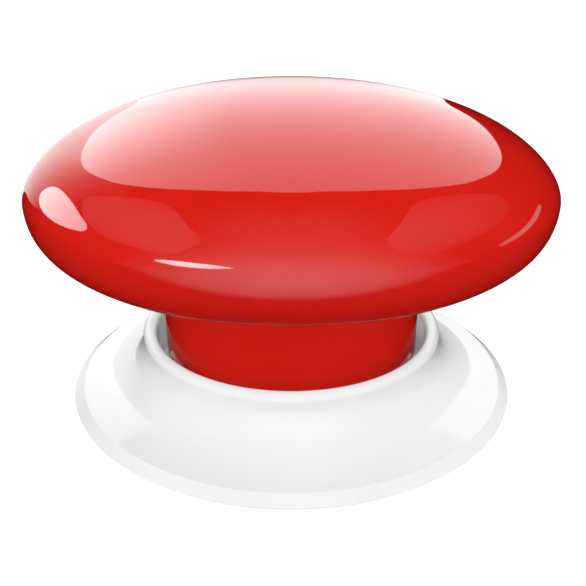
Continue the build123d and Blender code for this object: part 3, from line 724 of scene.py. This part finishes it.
def world():
    """Soft even light; white to the camera, to the gloss and through clear pieces."""
    sky = bpy.data.worlds.new("studio")
    bpy.context.scene.world = sky
    sky.use_nodes = True
    tree = sky.node_tree
    tree.nodes.clear()
    out = tree.nodes.new("ShaderNodeOutputWorld")
    path = tree.nodes.new("ShaderNodeLightPath")

    def background(strength):
        node = tree.nodes.new("ShaderNodeBackground")
        node.inputs["Color"].default_value = (1, 1, 1, 1)
        node.inputs["Strength"].default_value = strength
        return node.outputs[0]

    seen = background(AMBIENT)
    white = background(1.0)
    for ray in ("Is Camera Ray", "Is Glossy Ray", "Is Transmission Ray"):
        node = tree.nodes.new("ShaderNodeMixShader")
        link(tree, path.outputs[ray], node.inputs["Fac"])
        link(tree, seen, node.inputs[1])
        link(tree, white, node.inputs[2])
        seen = node.outputs[0]
    link(tree, seen, out.inputs["Surface"])


def aimed(obj, place, target):
    """Puts a lamp or camera at a place and turns it to a target."""
    direction = Vector(target) - Vector(place)
    obj.matrix_world = Matrix.Translation(place) @ direction.to_track_quat("-Z", "Y").to_matrix().to_4x4()
    bpy.context.scene.collection.objects.link(obj)
    return obj


def lamp(name, place, target, width, height, power):
    """Soft rectangular lamp that lights the object but isn't mirrored in its gloss."""
    data = bpy.data.lights.new(name, "AREA")
    data.shape = "RECTANGLE"
    data.size = width
    data.size_y = height
    data.energy = power
    obj = aimed(bpy.data.objects.new(name, data), place, target)
    obj.visible_camera = False
    obj.visible_glossy = False


def towards(bearing, elevation):
    """Unit vector; bearing 0 points to the camera's side and grows to the right."""
    b = radians(bearing)
    e = radians(elevation)
    return Vector((sin(b) * cos(e), -cos(b) * cos(e), sin(e)))


def only_mirrored(obj):
    """The object shows in gloss and nowhere else."""
    obj.visible_camera = False
    obj.visible_diffuse = False
    obj.visible_shadow = False
    obj.visible_transmission = False


def glow_material(name):
    """Glow whose strength comes from the mesh."""
    mat = bpy.data.materials.new(name)
    mat.use_nodes = True
    tree = mat.node_tree
    tree.nodes.clear()
    out = tree.nodes.new("ShaderNodeOutputMaterial")
    light = tree.nodes.new("ShaderNodeEmission")
    source = tree.nodes.new("ShaderNodeAttribute")
    source.attribute_name = "glow"
    link(tree, source.outputs["Fac"], light.inputs["Strength"])
    link(tree, light.outputs[0], out.inputs["Surface"])
    return mat


def drape():
    """Dark cloth around the set, which keeps the cap's gloss dark between the cards. Its mesh has no
    strengths, so it doesn't glow."""
    obj = mesh_object("drape", [], [])
    work = bmesh.new()
    bmesh.ops.create_uvsphere(work, u_segments=64, v_segments=32, radius=DRAPE_DISTANCE)
    work.to_mesh(obj.data)
    work.free()
    obj.data.materials.append(glow_material("drape"))
    only_mirrored(obj)


def card(name, rows, distance):
    """Glowing card that only the gloss mirrors. Its rows run from one side to the other, each a list of
    (bearing, elevation, strength) seen from the cap; all rows are equally long."""
    centre = Vector((0, 0, rim_height))
    points = [[(centre + distance * towards(b, e), s) for b, e, s in row] for row in rows]
    return glowing_grid(name, points)


def keep_off_base(obj):
    """The card doesn't show in the gloss of the base."""
    group = bpy.data.collections.new(obj.name)
    group.objects.link(bpy.data.objects["base_flare"])
    group.collection_objects[0].light_linking.link_state = "EXCLUDE"
    obj.light_linking.receiver_collection = group


def glowing_grid(name, rows):
    """Mesh of rows of (point, strength) that only the gloss mirrors."""
    across = len(rows[0])
    faces = []
    for i in range(len(rows) - 1):
        for k in range(across - 1):
            first = i * across + k
            faces.append((first, first + 1, first + across + 1, first + across))
    obj = mesh_object(name, [p for row in rows for p, s in row], faces)
    glow = obj.data.attributes.new("glow", "FLOAT", "POINT")
    glow.data.foreach_set("value", [s for row in rows for p, s in row])
    obj.data.materials.append(glow_material(name))
    rounding = obj.modifiers.new("rounding", "SUBSURF")
    rounding.levels = 0
    rounding.render_levels = 3
    only_mirrored(obj)
    return obj


def front_window():
    """Broad glow towards the viewer, strongest at eye level and fading upwards and sideways, and the
    bright floor that lies before it."""
    sideways = [(0, 1), (10, 1), (15, 0.92), (22, 0.82), (31, 0.71), (40, 0.48), (49, 0.3), (54, 0.18),
                (61, 0.09), (68, 0)]
    both_sides = [(-b, s) for b, s in sideways[:0:-1]] + sideways
    upwards = [(-1, 2.04, 1), (10, 2.0, 1), (18, 1.82, 1), (27, 1.62, 1), (36, 1.25, 1), (44, 0.97, 1),
               (50, 0.78, 1.05), (57, 0.6, 1.15), (66, 0.47, 1.5), (77, 0.33, 2.2), (84, 0.25, 2.6),
               (89, 0.15, 2.6)]
    window = [[(b * wide, e, s * share) for b, share in both_sides] for e, s, wide in upwards]
    card("front_window", window, WINDOW_DISTANCE)
    outwards = [(0.044, 0), (0.047, 0.35), (0.05, 0.95), (0.056, 1.9), (0.2, 2.0),
                (WINDOW_DISTANCE, 2.04)]
    ground = [[(Vector((y * tan(radians(b)), -y, 0)), s * share) for b, share in both_sides]
              for y, s in outwards]
    glowing_grid("front_floor", ground)


def top_softbox():
    """Large softbox overhead that reaches back to the horizon; its left wing is brighter. Its outline
    is (bearing, elevation, strength) on the left, and the right side mirrors it."""
    outline = [(136.3, 71.7, 2.0), (124.3, 59.6, 2.1), (123.4, 51.6, 2.3), (125.0, 42.6, 2.5),
               (128.4, 37.0, 2.7), (132.4, 30.6, 3.2), (136.8, 25.9, 3.6), (141.0, 22.2, 3.7),
               (145.7, 18.8, 3.6), (149.4, 16.0, 3.4), (153.0, 13.0, 3.0), (156.5, 10.1, 2.4),
               (160.0, 7.7, 2.2), (162.7, 5.8, 2.0), (164.5, 1.0, 1.7), (165.5, -3.0, 1.2),
               (168.0, -9.0, 0.2)]
    behind = -180
    ridge_slope = 0.45
    highest = 77.9
    right_strength = 1.9
    rows = []
    for bearing, elevation, left in outline:
        reach = -behind - bearing
        waist_reach = 0.65 * reach
        ridge_reach = 0.3 * reach
        ridge = min(elevation + ridge_slope * reach, highest)
        waist = (elevation + ridge) / 2
        right = min(right_strength, left)
        rows.append([(behind + reach, elevation, left), (behind + waist_reach, waist, (left + right) / 2),
                     (behind + ridge_reach, ridge, right), (behind, ridge, right),
                     (behind - ridge_reach, ridge, right), (behind - waist_reach, waist, right),
                     (behind - reach, elevation, right)])
    card("top_softbox", rows[::-1], CARD_DISTANCE)


def left_wall():
    """Broad glow at the back left, which brightens towards the horizon."""
    rows = [[(-170, -26, 0.7), (-160, -20, 0.8), (-151, -13, 1.0), (-142, -5, 1.2), (-134, -2, 0.8),
             (-127, 2, 0.4), (-119, 8, 0.1), (-114, 12, 0)],
            [(-168, -8, 1.0), (-158, -6, 1.1), (-149, -2, 1.3), (-140, 3, 1.2), (-133, 6, 0.85),
             (-126, 9, 0.4), (-119, 14, 0.1), (-114, 16, 0)],
            [(-164, 10, 1.5), (-154, 10, 1.6), (-146, 12, 1.5), (-137, 12, 1.1), (-131, 16, 0.75),
             (-125, 20, 0.45), (-119, 24, 0.15), (-114, 25, 0)],
            [(-160, 25, 1.9), (-152, 25, 1.9), (-145, 24, 1.75), (-137, 26, 0.95), (-130, 28, 0.5),
             (-124, 30, 0.32), (-119, 34, 0.18), (-114, 36, 0)],
            [(-160, 45, 0.4), (-152, 45, 0.4), (-145, 45, 0.3), (-137, 45, 0.25), (-130, 45, 0.15),
             (-124, 45, 0.1), (-119, 46, 0.05), (-114, 47, 0)]]
    card("left_wall", rows, WINDOW_DISTANCE)


def side_lamp():
    """Bright drop-shaped card on the left."""
    rows = [[(-128, 7.5, 4.2), (-118, 6.7, 5.0), (-106, 10, 5.2), (-96, 15.3, 5.5)],
            [(-129.7, 12, 4.6), (-117, 15, 5.3), (-106, 17, 5.5), (-91, 21, 5.6)],
            [(-129, 17, 5.3), (-120, 21, 5.5), (-108, 23, 5.6), (-94.5, 26.3, 5.5)],
            [(-125, 22, 5.5), (-116, 26.6, 5.7), (-108, 27.5, 5.6), (-102.6, 27.3, 5.3)]]
    keep_off_base(card("side_lamp", rows, CARD_DISTANCE))


def screens():
    """Faint broad cards on both sides."""
    left = [[(-118.4, 29.8, 0.33), (-88.6, 25.1, 0.3), (-68.3, 25.4, 0.3), (-49.9, 27.5, 0.5)],
            [(-116, 38, 0.34), (-90, 36, 0.45), (-70, 36, 0.6), (-49, 34, 0.68)],
            [(-114.5, 45.9, 0.34), (-90, 45, 0.58), (-70, 44, 0.68), (-48, 42, 0.68)],
            [(-107.4, 59.6, 0.22), (-85, 60.5, 0.5), (-65, 58, 0.66), (-46.1, 52.5, 0.5)]]
    right = [[(49, 22.5, 0.3), (78.1, 24.1, 0.12), (108.5, 24.0, 0.1), (119.7, 30.1, 0.15)],
             [(48, 35, 0.56), (78, 33, 0.4), (104, 33, 0.22), (118, 38, 0.17)],
             [(48, 43, 0.65), (78, 43, 0.56), (100, 43, 0.4), (116.2, 46.6, 0.2)],
             [(47.7, 50.3, 0.55), (67, 57, 0.66), (87, 60, 0.5), (110.1, 59.1, 0.22)]]
    card("left_screen", left, CARD_DISTANCE)
    card("right_screen", right, CARD_DISTANCE)


def strip_lamp():
    """Narrow bright card low on the left of the camera."""
    rows = [[(-53.7, 13.6, 10), (-45.4, 10.6, 13), (-38.3, 11.5, 15), (-28.1, 14.7, 13), (-21.8, 20.6, 10)],
            [(-53.7, 13.8, 10), (-50.7, 19.5, 14), (-39.9, 22.2, 17), (-29.8, 23.2, 14), (-21.8, 20.8, 10)]]
    keep_off_base(card("strip_lamp", rows, NEAR_DISTANCE))


def rim_lamp():
    """Low card on the right, for the arc of light near the rim."""
    rows = [[(84.9, -2.2, 1.2), (99.9, 2.2, 1.2), (110.5, 5.2, 1.1), (122.6, 7.8, 0.8)],
            [(84.6, 5.7, 1.2), (97.5, 7.6, 1.2), (110.0, 9.8, 1.1), (121.0, 11.9, 0.8)]]
    card("rim_lamp", rows, CARD_DISTANCE)


def camera():
    """The photograph's view: fitted distance, height and tilt."""
    frame_pixels = 586
    focal_pixels = 750
    axis_pixel = 291.4
    sensor = 36
    data = bpy.data.cameras.new("camera")
    data.sensor_width = sensor
    data.lens = sensor * focal_pixels / frame_pixels
    data.shift_x = (frame_pixels / 2 - axis_pixel) / frame_pixels
    data.clip_start = 0.001
    data.clip_end = 10
    distance = 76.77 * MM
    height = 45.29 * MM
    aim_height = 9.893 * MM
    obj = aimed(bpy.data.objects.new("camera", data), (0, -distance, height), (0, 0, aim_height))
    bpy.context.scene.camera = obj


floor()
world()
drape()
front_window()
top_softbox()
left_wall()
side_lamp()
screens()
strip_lamp()
rim_lamp()
lamp("lamp_key", (0.04, -0.42, 0.58), (0, 0, 0), 0.5, 0.5, 1.6)
lamp("lamp_front", (-0.05, -0.51, 0.4), (0, 0, 0.01), 0.5, 0.2, 1.2)
lamp("lamp_left", (-0.55, -0.12, 0.15), (0, 0, 0.01), 0.3, 0.2, 0.5)
lamp("lamp_right", (0.55, 0.0, 0.15), (0, 0, 0.01), 0.3, 0.2, 0.5)
lamp("lamp_back", (0.15, 0.5, 0.35), (0, 0, 0.01), 0.4, 0.3, 1.2)
camera()

bpy.context.scene.view_settings.view_transform = "Standard"
